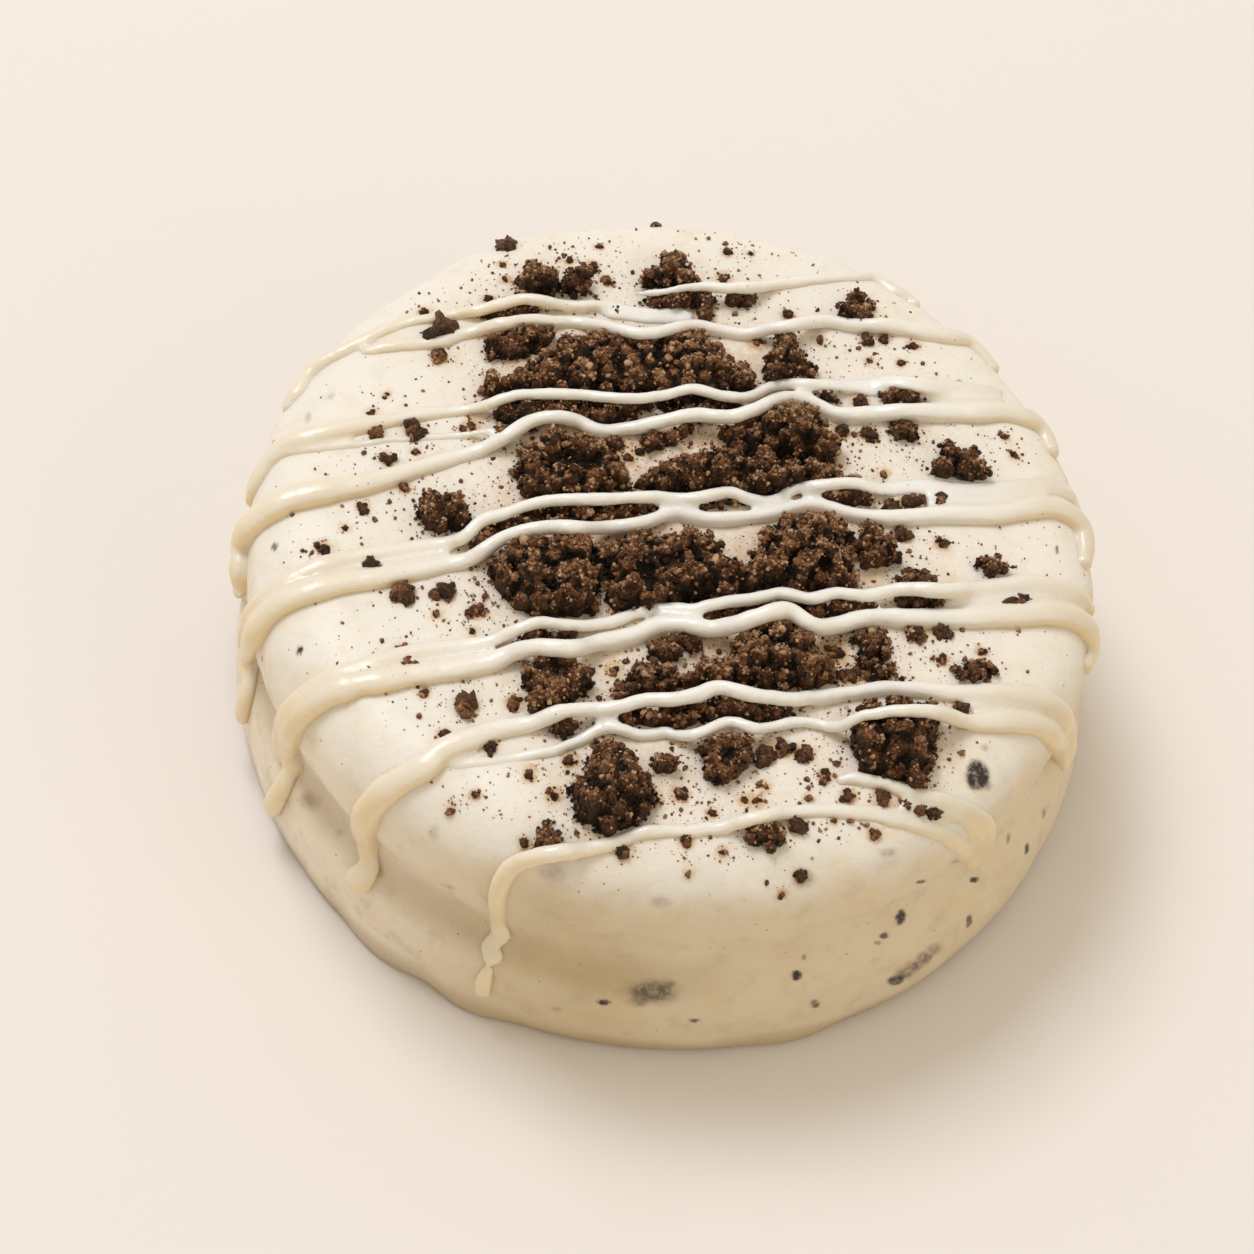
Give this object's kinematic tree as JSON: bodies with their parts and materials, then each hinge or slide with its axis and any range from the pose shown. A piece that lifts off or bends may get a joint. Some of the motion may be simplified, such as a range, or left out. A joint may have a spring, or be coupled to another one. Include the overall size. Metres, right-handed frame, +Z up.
{
  "type": "white chocolate dipped sandwich cookie",
  "caption": "Round sandwich cookie dipped whole in white chocolate, with drizzled strands across its top and dark cookie crumbs in a band through the middle.",
  "frame": {"origin": "middle of the flat underside", "axes": "+Z up through the cookie's thickness; +X runs along the drizzle from its left ends to its right ends as seen from -Y"},
  "size_m": [0.0521, 0.052, 0.0211],
  "materials": {
    "white_coating": "satin white chocolate, ivory, slightly translucent",
    "white_drizzle": "satin white chocolate strands, whiter over the crumbs and creamier towards their ends",
    "cookie_crumb": "rough dark cocoa cookie crumb with brown and tan grains"
  },
  "bodies": {
    "root": {"dipped_cookie": "white_coating"}
  },
  "joints": []
}
